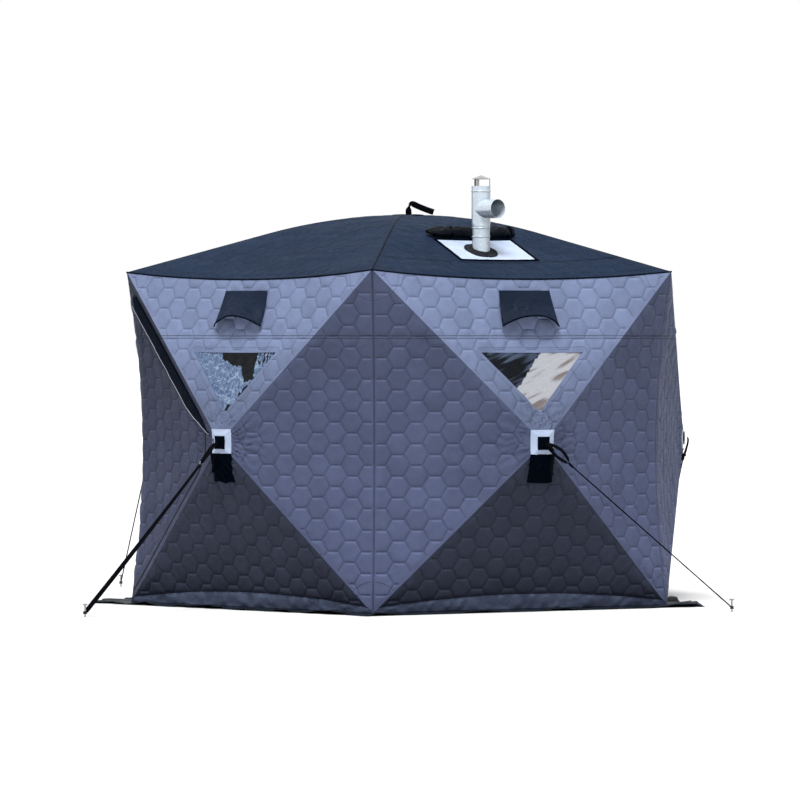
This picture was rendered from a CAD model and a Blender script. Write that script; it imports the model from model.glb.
"""Looks of a five-sided pop-up ice fishing hut: quilted walls and roof, trims, guys and a stove flue.

Lengths are in metres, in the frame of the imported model: +Z up, -Y towards the corner between the front walls.
A wall is drawn in its hub's frame (right, up and outwards, seen from outside) and then turned to its place.
A roof panel is drawn in plan (outwards and along the eaves) and turned the same way.
"""
import math

import bmesh
import bpy
import numpy as np
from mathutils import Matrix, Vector
from mathutils.geometry import delaunay_2d_cdt


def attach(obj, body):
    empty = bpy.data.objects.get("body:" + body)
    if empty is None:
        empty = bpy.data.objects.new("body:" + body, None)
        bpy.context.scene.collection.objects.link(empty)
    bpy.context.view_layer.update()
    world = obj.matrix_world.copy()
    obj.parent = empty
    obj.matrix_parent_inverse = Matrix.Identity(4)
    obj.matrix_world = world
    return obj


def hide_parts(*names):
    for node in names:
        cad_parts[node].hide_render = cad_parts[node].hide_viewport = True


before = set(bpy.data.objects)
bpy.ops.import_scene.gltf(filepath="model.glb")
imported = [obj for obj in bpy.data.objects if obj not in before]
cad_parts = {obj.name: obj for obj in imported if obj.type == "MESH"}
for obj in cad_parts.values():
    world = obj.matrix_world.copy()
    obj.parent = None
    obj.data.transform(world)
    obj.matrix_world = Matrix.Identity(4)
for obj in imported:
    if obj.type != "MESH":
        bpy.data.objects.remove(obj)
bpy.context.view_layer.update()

# Frame of the hut
WALLS = ["front_right", "right_side", "rear", "left_side", "front_left"]
JACK_WALL = 0
DOOR_WALL = 4
SIDES = len(WALLS)
TURN = 2 * math.pi / SIDES
HALF = TURN / 2
FIRST_CORNER = math.radians(-90)
SIDE_L = 1.850
EAVE_H = 1.817
EAVE_DIP = 0.045
EAVE_INSET = 0.020
CORNER_HOLLOW = 0.075
BASE_INSET = 0.025
HUB_H = 0.897
FRONT_BULGE = 0.211
SIDE_BULGE = 0.300
FABRIC_T = 0.008
SKIRT_T = 0.004
CORNER_R = SIDE_L / 2 / math.sin(HALF)
APOTHEM = SIDE_L / 2 / math.tan(HALF)
HUB_HOLE = 0.024
POLE_L = math.hypot(SIDE_L / 2, FRONT_BULGE, EAVE_H - HUB_H)

# Inner faces: steps at the eaves and their corners, as shares of the fabric's thickness
EAVE_STEP_SHARE = 0.82
CORNER_IN_SHARE = 1.14
CORNER_DOWN_SHARE = 0.72
STEP_BLEND_SHARE = 0.125

# Roof
ROOF_SLOPE = math.radians(15.3)
ROOF_ARC_R = 0.787
ROOF_HOLE_R = 0.026
EAVE_PIPING_R = 0.0042
ARCH_R = ROOF_ARC_R / math.sin(ROOF_SLOPE)
APEX_H = EAVE_H + (CORNER_R - ROOF_ARC_R) * math.tan(ROOF_SLOPE) + ROOF_ARC_R * math.tan(ROOF_SLOPE / 2)

# Quilting: hexagons with two level edges, drawn on a lattice whose lines follow their edges
ROW_SHARE = math.sqrt(3) / 2
HEX_EDGE = 0.0658
HEX_APOTHEM = HEX_EDGE * ROW_SHARE
TONE_HASH = (129.9, 782.3, 437.585)
LATTICE = HEX_EDGE / 6
BACK_LATTICE = 0.08
LATTICE_CLEAR_SHARE = 0.45
LIFT_FLOOR_SHARE = 0.5
QUILT_H = 0.0055
ROOF_QUILT_H = 0.0016
PILLOW_REACH = 0.036
PILLOW_POWER = 2.4
BAND_H = 1.461

# Windows, vents and door, in the frames of their panels
WINDOW_W = 0.620
WINDOW_H = 0.322
WINDOW_UP = 0.176
WINDOW_TIP_W = 0.014
WINDOW_BORDER = 0.026
FILM_LATTICE = 0.009
FILM_BACK_LATTICE = 0.03
STREAK_LEAN = math.radians(24)
STREAK_SQUEEZE = 0.16
SCREEN_W = 0.230
SCREEN_H = 0.096
HOOD_TOP_W = 0.310
HOOD_LOW_W = 0.350
HOOD_H = 0.182
VENT_SHARE = 0.8265
HOOD_DEPTH = 0.075
HOOD_ARCH = 0.024
HOOD_DROP = 0.020
HOOD_PROP = 0.020
HOOD_T = 0.003
HOOD_SEAT = 0.002
HOOD_BINDING_R = 0.0038
DOOR_BORDER = 0.040
DOOR_TIP = 0.163
DOOR_FLAT_SHARE = 0.66
ZIP_STEP = 0.009
ZIP_TOOTH_H = 0.0005
FLAP_W = 0.078
FLAP_T = 0.0024
FLAP_PIPING_R = 0.0032
FLAP_LIFT = 0.0085
FLAP_START_SHARE = 0.10
FLAP_END_SHARE = 0.86
FLAP_POINT_SHARE = 0.05
CORNER_PATCH_R = 0.165
HEM_H = 0.030
HEM_ARCH = 0.058
PUCKER_H = 0.0036
RUFFLE_H = 0.0028

# Hub trims, guys and pegs
PATCH_W = 0.144
PATCH_T = 0.003
TRIM_SEAT = 0.001
PAD_W = 0.071
PAD_T = 0.006
PAD_CROWN = 0.0022
PAD_FLATTEN_SHARE = 0.4
POCKET_W = 0.158
POCKET_H = 0.146
POCKET_T = 0.014
POCKET_TUCK = 0.012
POCKET_MORE_H = 0.010
POCKET_FRONT = 0.003
POCKET_BACK = 0.0014
WEBBING_W = 0.026
WEBBING_T = 0.003
LOOP_L = 0.160
LOOP_W_SHARE = 0.72
TAIL_SHARE = 0.6
THIN_SHARE = 0.8
RING_R = 0.0105
RING_WIRE_R = 0.0024
TAB_R = 0.005
GUY_LEFT_R = 0.993
GUY_RIGHT_R = 1.000
GUY_RIGHT_TURN = math.radians(62)
GUY_SIDE_R = 1.000
GUY_SIDE_TURN = math.radians(85)
STRANDS = 3
STRAND_R = 0.0021
STRAND_OUT = 0.0019
STRAND_STEP = 0.0031
STRAND_LAY = 0.026
WRAP_TURNS = 5
WRAP_R = 0.0022
WRAP_OUT = 0.0056
PEG_R = 0.005
PEG_TURNS = (-0.004, 0.0035)
ROPE_LOOP_R = 0.0032
WEBBING_LOOP_R = 0.0034
TIE_H = 0.024

# Ground skirt, stove jack and flue
SKIRT_W = 0.180
SKIRT_LAP = 0.030
SKIRT_RISE = 0.010
SKIRT_TRIM = 0.012
SKIRT_EDGE_T = 0.003
SKIRT_GAP = 0.0004
JACK_OUT = 0.868
JACK_W = 0.492
JACK_L = 0.305
JACK_LAP = 0.024
JACK_BORDER = 0.018
JACK_SEAT = 0.0004
JACK_LATTICE = 0.009
JACK_SHEET_T = 0.002
JACK_BORDER_T = 0.0032
COLLAR_R = 0.0915
COLLAR_LOW = 0.0036
COLLAR_HIGH = 0.0062
COLLAR_RISE = 0.011
COLLAR_FLUTES = 9
COLLAR_FLUTE_H = 0.0012
PIPE_R = 0.048
FLUE_OUT = 0.882
FLUE_ALONG = -0.040
ROLL_D = 0.066
ROLL_L = 0.536
ROLL_TIES = (-0.24, 0.45)
ROLL_TURNS = 3.6
ROLL_LAYER = 0.0056
ROLL_OVAL = (1.06, 0.92)
ROLL_CLOTH_T = 0.0026
ROLL_TIP_SHARE = 0.3
ROLL_TIP_L = 0.09
ROLL_TIE_OVAL = (1.04, 0.91)
ROLL_TIE_W = 0.020
ROLL_TIE_T = 0.002
ROLL_TIE_DENT = 0.003
ROLL_SINK = 0.004
ROLL_SAG = 0.3
ROLL_OUT = JACK_OUT - JACK_L / 2 - ROLL_D * 0.45
TOP_PATCH_R = 0.086
TOP_PATCH_LOW = 0.0003
TOP_PATCH_HIGH = 0.0034
STRAP_TURN = math.radians(7)
STRAP_W = 0.022
STRAP_SPREAD = 1.6
STRAP_T = 0.0022
STRAP_GAP = 0.0016
STRAP_FOOT_H = 0.0036
STRAP_RISE = 0.062
STRAP_RUN = 0.146

# Ripples of the cloth and the films: height, wavelength and seed of each; then seeds of whole pieces
WALL_BILLOW = ((0.0035, 0.4, 0), (0.0012, 0.13, 1))
ROOF_BILLOW = ((0.004, 0.5, 0), (0.0012, 0.14, 1))
FILM_CLOUD = ((0.6, 0.10, 40), (0.4, 0.035, 50))
FILM_STREAK = ((0.65, 0.05, 44), (0.35, 0.022, 46))
FILM_CRINKLE = ((0.0008, 0.06, 60),)
NET_RIPPLE = ((0.0004, 0.03, 80),)
HOOD_CREASE = ((0.006, 0.55, 90), (0.0022, 0.16, 95))
FLAP_WAVE = ((0.0014, 0.2, 120), (0.0006, 0.06, 121))
TOP_PATCH_RIPPLE = ((0.0007, 0.05, 410),)
JACK_WRINKLE = ((0.0012, 0.11, 500), (0.0006, 0.04, 501))
JACK_BORDER_RIPPLE = ((0.0004, 0.05, 510),)
ROLL_FOLD = ((0.0058, 0.06, 600),)
ROLL_CREASE = ((0.0022, 0.025, 601),)
HUB_TRIM_RIPPLE = ((0.0006, 0.03, 0),)
POCKET_SWAY = ((0.004, 1.3, 800),)
POCKET_FOLD = ((0.0022, 0.45, 820), (0.0009, 0.14, 830))
SKIRT_WAVE = ((0.013, 0.26, 900),)
SKIRT_CREASE = ((0.0025, 0.08, 910),)
SKIRT_RAGGED = ((0.010, 0.2, 920),)
PATCH_SEED = 700
PAD_SEED = 720
WALL_SEED_STEP = 100
PART_SEED_STEP = 7
ROOF_SEED = 300
ROOF_SEED_STEP = 10

# Creases that fan out from a hub: height, number of broad and of fine ones in a full turn
HUB_CREASE_H = 0.0052
BROAD_CREASES = 31
FINE_CREASES = 57

# Camera at the photograph's angle, floor and light
CAMERA_TURN = math.radians(6.88)
CAMERA_AWAY = 30.32
CAMERA_H = 1.484
CAMERA_PITCH = math.radians(-0.704)
CAMERA_YAW = math.radians(0.084)
CAMERA_SENSOR = 36
CAMERA_LENS = 245.9
CAMERA_REACH = 2000
FLOOR_REACH = 300.0
SKY_WASH = {"From Min": -0.5, "From Max": 0.5, "To Min": 0.36, "To Max": 1.0}
SUN_STRENGTH = 3.5
SUN_SPREAD = math.radians(22)
SUN_AIM = (0.05, 0.46, -0.89)

# Meshes: upwards, points along a panel's edge, sides of a tube, points worked on at once, sharp edges
UP = np.array([0.0, 0, 1])
EDGE_POINTS = 401
TUBE_SIDES = 8
CHUNK = 2048
SHARP_ANGLE = math.radians(60)


# Small helpers on numbers and arrays
def mix(a, b, share):
    return a + (b - a) * share


def bow(share):
    return 4 * share * (1 - share)


def fade(value, low, high):
    """Rises smoothly from 0 at low to 1 at high."""
    x = np.clip((value - low) / (high - low), 0, 1)
    return x * x * (3 - 2 * x)


def bell(value, width):
    return np.exp(-(value / width) ** 2)


def ripple(points, wavelength, seed, waves=9):
    """Smooth random height, mostly from -1 to 1: sine waves in random directions."""
    random = np.random.default_rng(seed)
    directions = random.normal(size=(waves, points.shape[1]))
    directions /= np.linalg.norm(directions, axis=1, keepdims=True)
    lengths = wavelength * random.uniform(0.6, 1.6, waves)
    phases = random.uniform(0, 2 * np.pi, waves)
    turns = points @ (directions / lengths[:, None]).T * 2 * np.pi + phases
    return np.sin(turns).sum(axis=1) / math.sqrt(waves)


def ripples(points, waves, seed=0):
    """Sum of ripples, each given by its height, wavelength and seed."""
    return sum(height * ripple(points, wavelength, seed + own) for height, wavelength, own in waves)


def unit(vectors):
    return vectors / np.linalg.norm(vectors, axis=-1, keepdims=True)


def heading(angle):
    return np.array([math.cos(angle), math.sin(angle), 0])


def full_turn(count):
    return np.linspace(0, 2 * np.pi, count, endpoint=False)


def around(centre, radius, turn, one, two):
    """Points at a radius from a centre, turned from one direction towards another."""
    return centre + radius * (np.cos(turn) * one + np.sin(turn) * two)


def in_chunks(work, points):
    return np.concatenate([work(points[i:i + CHUNK]) for i in range(0, len(points), CHUNK)])


def inside(points, polygon):
    """Which points lie in a polygon."""
    after = np.roll(polygon, -1, axis=0)

    def test(part):
        x, y = part[:, :1], part[:, 1:]
        spans = (polygon[:, 1] > y) != (after[:, 1] > y)
        rise = np.where(after[:, 1] == polygon[:, 1], 1e-12, after[:, 1] - polygon[:, 1])
        left = x < (after[:, 0] - polygon[:, 0]) * (y - polygon[:, 1]) / rise + polygon[:, 0]
        return (spans & left).sum(axis=1) % 2 == 1

    return in_chunks(test, points)


def segment_distance(points, start, end):
    """Distance of points to the nearest of some straight segments."""
    step = end - start

    def measure(part):
        away = part[:, None] - start
        share = np.clip((away * step).sum(-1) / np.maximum((step * step).sum(-1), 1e-15), 0, 1)
        return np.linalg.norm(away - share[..., None] * step, axis=-1).min(axis=1)

    return in_chunks(measure, points)


def distance(points, line):
    """Distance of points to a polyline."""
    return segment_distance(points, line[:-1], line[1:])


def closed(polygon):
    return np.vstack([polygon, polygon[:1]])


def subdivide(line, spacing):
    """Points along a polyline, its own corners among them, without its last point."""
    parts = []
    for a, b in zip(line[:-1], line[1:]):
        count = max(1, round(float(np.linalg.norm(b - a)) / spacing))
        parts.append(a + (b - a) * (np.arange(count) / count)[:, None])
    return np.vstack(parts)


def hexagons(points):
    """Distance of points to the stitching, a random tone for each hexagon, and where its level edges are."""
    nearest = np.full(len(points), -np.inf)
    tone, level = np.zeros(len(points)), np.zeros(len(points))
    column = np.round(points[:, 0] / (1.5 * HEX_EDGE))
    for shift in (-1, 0, 1):
        x = (column + shift) * 1.5 * HEX_EDGE
        offset = ((column + shift) % 2) * HEX_APOTHEM
        y = np.round((points[:, 1] - offset) / (2 * HEX_APOTHEM)) * 2 * HEX_APOTHEM + offset
        across, up = np.abs(points[:, 0] - x), np.abs(points[:, 1] - y)
        slanted = across * ROW_SHARE + up / 2
        clear = HEX_APOTHEM - np.maximum(up, slanted)
        better = clear > nearest
        nearest[better] = clear[better]
        level[better] = (up > slanted)[better]
        chance = np.abs(np.sin(x * TONE_HASH[0] + y * TONE_HASH[1]) * TONE_HASH[2])
        tone[better] = np.modf(chance)[0][better]
    return np.maximum(nearest, 0), tone, level


def stitching(points):
    """Values that the quilted material reads: the lip lies one row of the lattice under a stitched edge."""
    hex_d, tone, level = hexagons(points)
    lip = hexagons(points + np.array([0, LATTICE * ROW_SHARE]))[0]
    return {"hex_d": hex_d, "tone": tone, "level": level, "lip_d": lip}


def pillow(stitch_distance):
    return 1 - (1 - np.minimum(stitch_distance / PILLOW_REACH, 1)) ** PILLOW_POWER


# Wall panels
def wall_turn(k):
    return FIRST_CORNER + k * TURN + HALF


def bulge(k):
    return FRONT_BULGE if k in (JACK_WALL, DOOR_WALL) else SIDE_BULGE


def hub_radius(k):
    return APOTHEM + bulge(k)


def wall_to_world(k, points):
    """Points of wall k from its hub's frame to the model's frame."""
    a = wall_turn(k)
    right = np.array([-math.sin(a), math.cos(a), 0])
    outward = heading(a)
    hub = hub_radius(k) * outward + HUB_H * UP
    return hub + points[..., :1] * right + points[..., 1:2] * UP + points[..., 2:] * outward


def seam_curve(side, share, hub_r, inner=False):
    """Corner seam on the left (-1) or the right (1) of a wall, from the base to the eaves."""
    r = CORNER_R - BASE_INSET * (1 - share) - CORNER_HOLLOW * bow(share)
    z = mix(SKIRT_T, EAVE_H, share)
    if inner:
        top = fade(share, 1 - STEP_BLEND_SHARE, 1)
        r = r - FABRIC_T * mix(1 / math.cos(HALF), CORNER_IN_SHARE, top)
        z = z - FABRIC_T * CORNER_DOWN_SHARE * top
    return np.stack([side * r * math.sin(HALF), z - HUB_H, r * math.cos(HALF) - hub_r], axis=-1)


def edge_curve(part, share, hub_r, inner=False):
    """Outer edge of one of a wall's four panels."""
    if part in ("left", "right"):
        return seam_curve(-1 if part == "left" else 1, share, hub_r, inner)
    end = np.full_like(share, 1.0 if part == "upper" else 0.0)
    left, right = seam_curve(-1, end, hub_r), seam_curve(1, end, hub_r)
    pull = np.array([0, EAVE_DIP, EAVE_INSET]) * (part == "upper")
    line = mix(left, right, share[:, None]) - bow(share)[:, None] * pull
    if not inner:
        return line
    middle = -FABRIC_T * np.array([0, EAVE_STEP_SHARE, EAVE_STEP_SHARE] if part == "upper" else [0, 0, 1])
    left_step, right_step = seam_curve(-1, end, hub_r, True) - left, seam_curve(1, end, hub_r, True) - right
    ends = np.where(share[:, None] < 0.5, left_step, right_step)
    return line + mix(ends, middle, fade(np.minimum(share, 1 - share), 0, STEP_BLEND_SHARE)[:, None])


def tilted(up_lean, side_lean):
    """Axes of a panel's plane in the hub's frame: right, up and outwards."""
    c, s = math.cos(up_lean), math.sin(up_lean)
    d, t = math.cos(side_lean), math.sin(side_lean)
    return np.array([[d, 0, t], [0, c, -s], [-t, s, c * d]])


PANEL_MIDDLE = {"upper": (0, 1), "lower": (0, -1), "left": (-1, 0), "right": (1, 0)}


class Panel:
    """A cone-shaped wall panel, as a height over its own plane with the hub at the origin."""

    def __init__(self, part, axes, hub_r):
        self.part = part
        self.axes = axes
        self.middle = np.array(PANEL_MIDDLE[part], float)
        self.shares = np.linspace(0, 1, EDGE_POINTS)
        self.edge = edge_curve(part, self.shares, hub_r) @ self.axes.T
        self.inner_edge = edge_curve(part, self.shares, hub_r, inner=True) @ self.axes.T
        angles = self.angle(self.edge)
        order = np.argsort(angles)
        self.angles, self.angle_shares = angles[order], self.shares[order]
        self.start, self.end = self.edge[0, :2], self.edge[-1, :2]
        self.outer = self.edge[::10, :2]
        tip = HUB_HOLE / POLE_L
        ridge = np.linspace(tip, 1, 3)[:, None]
        hole = self.edge[::-40, :2] * tip
        lines = [ridge * self.start, self.outer, ridge[::-1] * self.end]
        self.outline = np.vstack([subdivide(line, LATTICE) for line in lines] + [hole[:-1]])

    def angle(self, points):
        across = points[:, 1] * self.middle[0] - points[:, 0] * self.middle[1]
        return np.arctan2(across, points[:, :2] @ self.middle)

    def along(self, points):
        """Share along the outer edge and share of the way from the hub, for points of the plane."""
        share = np.interp(self.angle(points), self.angles, self.angle_shares)
        edge = np.column_stack([np.interp(share, self.shares, self.edge[:, i]) for i in range(2)])
        return share, np.linalg.norm(points, axis=1) / np.linalg.norm(edge, axis=1)

    def front(self, points, lift=0.0):
        """Points of the plane on the panel's outer face, in the hub's frame."""
        share, reach = self.along(points)
        rise = reach * np.interp(share, self.shares, self.edge[:, 2])
        return np.column_stack([points, rise + lift]) @ self.axes

    def back(self, points):
        """The same points on the inner face."""
        share, reach = self.along(points)
        edge = np.column_stack([np.interp(share, self.shares, self.inner_edge[:, i]) for i in range(3)])
        hub = np.array([0, 0, -FABRIC_T]) @ self.axes.T
        return (hub + (edge - hub) * reach[:, None]) @ self.axes

    def edge_distance(self, points):
        ridges = [distance(points, np.vstack([np.zeros(2), corner])) for corner in (self.start, self.end)]
        return np.minimum(np.minimum(*ridges), distance(points, self.outer))


class WallShape:
    """The four panels of a wall whose hub stands out by a given bulge, in the hub's frame."""

    def __init__(self, out):
        hub_r = APOTHEM + out
        top_run, top_rise = out + EAVE_INSET, EAVE_H - EAVE_DIP - HUB_H
        low_run, low_rise = out + BASE_INSET * math.cos(HALF), HUB_H - SKIRT_T
        seam_r = CORNER_R - BASE_INSET / 2 - CORNER_HOLLOW
        lean = math.atan((hub_r - seam_r * math.cos(HALF)) / (seam_r * math.sin(HALF)))
        axes = {"upper": tilted(math.atan(top_run / top_rise), 0),
                "lower": tilted(-math.atan(low_run / low_rise), 0),
                "left": tilted(0, lean), "right": tilted(0, -lean)}
        self.panels = {part: Panel(part, axes[part], hub_r) for part in axes}
        self.low_l = math.hypot(low_run, low_rise)
        self.hood_up = math.hypot(top_run, top_rise) * VENT_SHARE - HOOD_H / 2
        self.screen_up = self.hood_up + HOOD_H - SCREEN_H - HOOD_SEAT
        self.holes = [window_corners(), screen_corners(self.screen_up)]
        self.door_top = math.atan((EAVE_H - HUB_H) / (SIDE_L / 2 * math.cos(lean) + out * math.sin(lean)))
        low_half = SIDE_L / 2 - BASE_INSET * math.sin(HALF)
        self.door_low = math.atan(low_rise / (low_half * math.cos(lean) + low_run * math.sin(lean)))
        shares = np.linspace(0, 1, 81)
        ring = np.vstack([edge_curve(part, shares, hub_r) for part in axes])
        angles = np.arctan2(ring[:, 1], ring[:, 0]) % (2 * np.pi)
        order = np.argsort(angles)
        self.ring_angles = angles[order]
        self.ring_slopes = (ring[:, 2] / np.linalg.norm(ring[:, :2], axis=1))[order]

    def fall(self, x, y):
        """How far the wall falls back from the hub at a place in the hub's frame."""
        at = np.arctan2(y, x) % (2 * np.pi)
        return np.hypot(x, y) * np.interp(at, self.ring_angles, self.ring_slopes, period=2 * np.pi)


def window_corners():
    tip, x, top = WINDOW_TIP_W / 2, WINDOW_W / 2, WINDOW_UP + WINDOW_H
    return np.array([[-tip, WINDOW_UP], [tip, WINDOW_UP], [x, top], [-x, top]])


def screen_corners(low):
    x, high = SCREEN_W / 2, low + SCREEN_H
    return np.array([[-x, low], [x, low], [x, high], [-x, high]])


SHAPES = {out: WallShape(out) for out in (FRONT_BULGE, SIDE_BULGE)}


def shape(k):
    return SHAPES[bulge(k)]


def on_wall(k, panel, points, lift):
    """Points of a panel's plane on its outer face, lifted, in the model's frame."""
    return wall_to_world(k, panel.front(points, lift))


# Roof panels
def rib_z(r):
    arc = APEX_H - ARCH_R + np.sqrt(ARCH_R ** 2 - np.minimum(r, ROOF_ARC_R) ** 2)
    return np.where(r <= ROOF_ARC_R, arc, EAVE_H + (CORNER_R - r) * math.tan(ROOF_SLOPE))


def roof_surface(points, lift=0.0):
    """Points of the plan (outwards, along the eaves) on the roof."""
    out, along = points[:, 0], points[:, 1]
    t = np.maximum(out / APOTHEM, 1e-6)
    for _ in range(4):
        u = np.clip(0.5 + along / (t * SIDE_L), 0, 1)
        t = (out + t * t * bow(u) * EAVE_INSET) / APOTHEM
    height = rib_z(t * CORNER_R) - t * t * bow(u) * EAVE_DIP
    return np.column_stack([points, height + lift])


def roof_to_world(k, points):
    a = wall_turn(k)
    c, s = math.cos(a), math.sin(a)
    return points @ np.array([[c, s, 0], [-s, c, 0], [0, 0, 1]])


def on_roof(k, points, lift):
    """Points of the plan on roof panel k, lifted, in the model's frame."""
    return roof_to_world(k, roof_surface(points, lift))


def roof_outline():
    """Outline of a roof panel in plan, and its eave alone."""
    u = np.linspace(0, 1, 41)
    eave = np.column_stack([APOTHEM - bow(u) * EAVE_INSET, (u - 0.5) * SIDE_L])
    ribs = [np.linspace(ROOF_HOLE_R / CORNER_R, 1, 3)[:, None] * corner for corner in (eave[0], eave[-1])]
    lines = [ribs[0], eave, ribs[1][::-1]]
    return np.vstack([subdivide(line, LATTICE) for line in lines] + [ribs[1][:1]]), eave


# Meshes
def build_mesh(name, points, faces, attributes=None):
    """A smooth-shaded mesh from points, lists of equal-sided faces and values on its points."""
    mesh = bpy.data.meshes.new(name)
    corners = np.concatenate([f.ravel() for f in faces]).astype(np.int32)
    sizes = np.concatenate([np.full(len(f), f.shape[1]) for f in faces])
    mesh.vertices.add(len(points))
    mesh.vertices.foreach_set("co", np.asarray(points, np.float32).ravel())
    mesh.loops.add(len(corners))
    mesh.loops.foreach_set("vertex_index", corners)
    mesh.polygons.add(len(sizes))
    mesh.polygons.foreach_set("loop_start", np.concatenate([[0], np.cumsum(sizes)[:-1]]).astype(np.int32))
    mesh.update(calc_edges=True)
    mesh.validate()
    mesh.shade_smooth()
    mesh.set_sharp_from_angle(angle=SHARP_ANGLE)
    for key, values in (attributes or {}).items():
        mesh.attributes.new(key, "FLOAT", "POINT").data.foreach_set("value", np.asarray(values, np.float32))
    return mesh


def joined(name, shells, attributes=None):
    """One mesh from closed shells, each given as its points and its lists of faces."""
    starts = np.cumsum([0] + [len(shell[0]) for shell in shells])
    faces = [f + start for shell, start in zip(shells, starts) for f in shell[1]]
    mesh = build_mesh(name, np.vstack([shell[0] for shell in shells]), faces, attributes)
    shape_edit = bmesh.new()
    shape_edit.from_mesh(mesh)
    bmesh.ops.recalc_face_normals(shape_edit, faces=shape_edit.faces)
    shape_edit.to_mesh(mesh)
    shape_edit.free()
    return mesh


def triangulate(points, edges, keep, spacing):
    """Triangles over a plane region: given points and edges, filled with a lattice of points."""
    low, high = points.min(axis=0), points.max(axis=0)
    row_h = spacing * ROW_SHARE
    rows = np.arange(math.floor(low[1] / row_h), math.ceil(high[1] / row_h) + 1)
    columns = np.arange(math.floor(low[0] / spacing) - 1, math.ceil(high[0] / spacing) + 1)
    x = columns[None] * spacing + (rows % 2)[:, None] * spacing / 2
    lattice = np.column_stack([x.ravel(), np.repeat(rows * row_h, len(columns))])
    lattice = lattice[keep(lattice)]
    near = segment_distance(lattice, points[edges[:, 0]], points[edges[:, 1]])
    lattice = lattice[near > LATTICE_CLEAR_SHARE * spacing]
    given = [Vector(p) for p in np.vstack([points, lattice])]
    result = delaunay_2d_cdt(given, [tuple(map(int, e)) for e in edges], [], 0, 1e-7, True)
    made = np.array([v[:] for v in result[0]])
    triangles = np.array(result[2])
    triangles = triangles[keep(made[triangles].mean(axis=1))]
    a, b, c = (made[triangles[:, i]] for i in range(3))
    area = (b[:, 0] - a[:, 0]) * (c[:, 1] - a[:, 1]) - (b[:, 1] - a[:, 1]) * (c[:, 0] - a[:, 0])
    triangles[area < 0] = triangles[area < 0][:, ::-1]
    triangles = triangles[np.abs(area) > 1e-12]
    place = np.zeros(len(given), int)
    for index, sources in enumerate(result[3]):
        place[sources] = index
    return made, triangles, place


class Region:
    """A cut of cloth in its own plane: a fine lattice for its front and a coarse one for its back."""

    def __init__(self, loops, keep, spacing=LATTICE, back_spacing=BACK_LATTICE):
        starts = np.cumsum([0] + [len(loop) for loop in loops])
        edges = np.vstack([np.column_stack([np.arange(len(loop)), np.roll(np.arange(len(loop)), -1)]) + first
                           for loop, first in zip(loops, starts)])
        points, triangles, _ = triangulate(np.vstack(loops), edges, keep, spacing)
        used, triangles = np.unique(triangles, return_inverse=True)
        self.points, self.triangles = points[used], triangles.reshape(-1, 3)
        sides = self.triangles[:, [0, 1, 1, 2, 2, 0]].reshape(-1, 2)
        pair = {tuple(side) for side in sides.tolist()}
        self.rim = np.array([side for side in sides.tolist() if (side[1], side[0]) not in pair])
        ring, local = np.unique(self.rim, return_inverse=True)
        local = local.reshape(-1, 2)
        back = triangulate(self.points[ring], local, keep, back_spacing)
        self.back_points, self.back_triangles = back[0], back[1]
        self.back_rim = back[2][local]
        a, b, c = (self.points[self.triangles[:, i]] for i in range(3))
        self.area = float(np.abs(np.cross(b - a, c - a)).sum() / 2)
        self.size = self.points.max(axis=0) - self.points.min(axis=0)

    def shell(self, front, back):
        """Closed shell of the cut, from its front and back points in space."""
        count = len(front)
        rim = np.column_stack([self.rim[:, 0], self.back_rim[:, 0] + count,
                               self.back_rim[:, 1] + count, self.rim[:, 1]])
        return np.vstack([front, back]), [self.triangles, self.back_triangles[:, ::-1] + count, rim]

    def cloth(self, name, front, back, attributes=None):
        """The same as a mesh, with values on its front's points."""
        values = {key: np.concatenate([v, np.ones(len(back))]) for key, v in (attributes or {}).items()}
        return build_mesh(name, *self.shell(front, back), values)


def slab(front, back):
    """Closed shell between two grids of points."""
    rows, columns, _ = front.shape
    count = rows * columns
    index = np.arange(count).reshape(rows, columns)
    quads = np.stack([index[:-1, :-1], index[:-1, 1:], index[1:, 1:], index[1:, :-1]], axis=-1).reshape(-1, 4)
    ring = np.concatenate([index[0, :-1], index[:-1, -1], index[-1, :0:-1], index[:0:-1, 0]])
    after = np.roll(ring, -1)
    rim = np.column_stack([ring, ring + count, after + count, after])
    return np.vstack([front.reshape(-1, 3), back.reshape(-1, 3)]), [quads, quads[:, ::-1] + count, rim]


def swept(rings, loop):
    """Closed shell through rings of points, capped at both ends or joined into a loop."""
    count, sides, _ = rings.shape
    index = np.arange(count * sides).reshape(count, sides)
    after = np.roll(index, -1, axis=1)
    first, second = (index, np.roll(index, -1, axis=0)) if loop else (index[:-1], index[1:])
    turn_first, turn_second = (after, np.roll(after, -1, axis=0)) if loop else (after[:-1], after[1:])
    quads = np.stack([first, turn_first, turn_second, second], axis=-1).reshape(-1, 4)
    caps = [] if loop else [index[0][None, ::-1], index[-1][None]]
    return rings.reshape(-1, 3), [quads] + caps


def directions_along(path, loop):
    return unit(np.roll(path, -1, axis=0) - np.roll(path, 1, axis=0) if loop else np.gradient(path, axis=0))


def frames_along(path, loop):
    """Two unit vectors across a path at each point, turning as little as they can."""
    tangents = directions_along(path, loop)
    start = UP if abs(tangents[0][2]) < 0.9 else np.array([1.0, 0, 0])
    across = []
    for tangent in tangents:
        start = start - tangent * (start @ tangent)
        start = start / np.linalg.norm(start)
        across.append(start)
    across = np.array(across)
    return across, np.cross(tangents, across)


def tube(path, radius, sides, loop=False):
    one, two = frames_along(path, loop)
    turn = full_turn(sides)[:, None]
    return swept(around(path[:, None], radius, turn, one[:, None], two[:, None]), loop)


def ribbon(path, across, width, thickness, loop=False):
    """Flat strap along a path, with softened edges; across points along its width."""
    normals = unit(np.cross(directions_along(path, loop), across))
    half, thick = width / 2, thickness / 2
    soft = thick * 0.7
    profile = [(-half, -thick + soft), (-half + soft, -thick), (half - soft, -thick), (half, -thick + soft),
               (half, thick - soft), (half - soft, thick), (-half + soft, thick), (-half, thick - soft)]
    rings = np.stack([path + x * across + y * normals for x, y in profile], axis=1)
    return swept(rings, loop)


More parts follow.
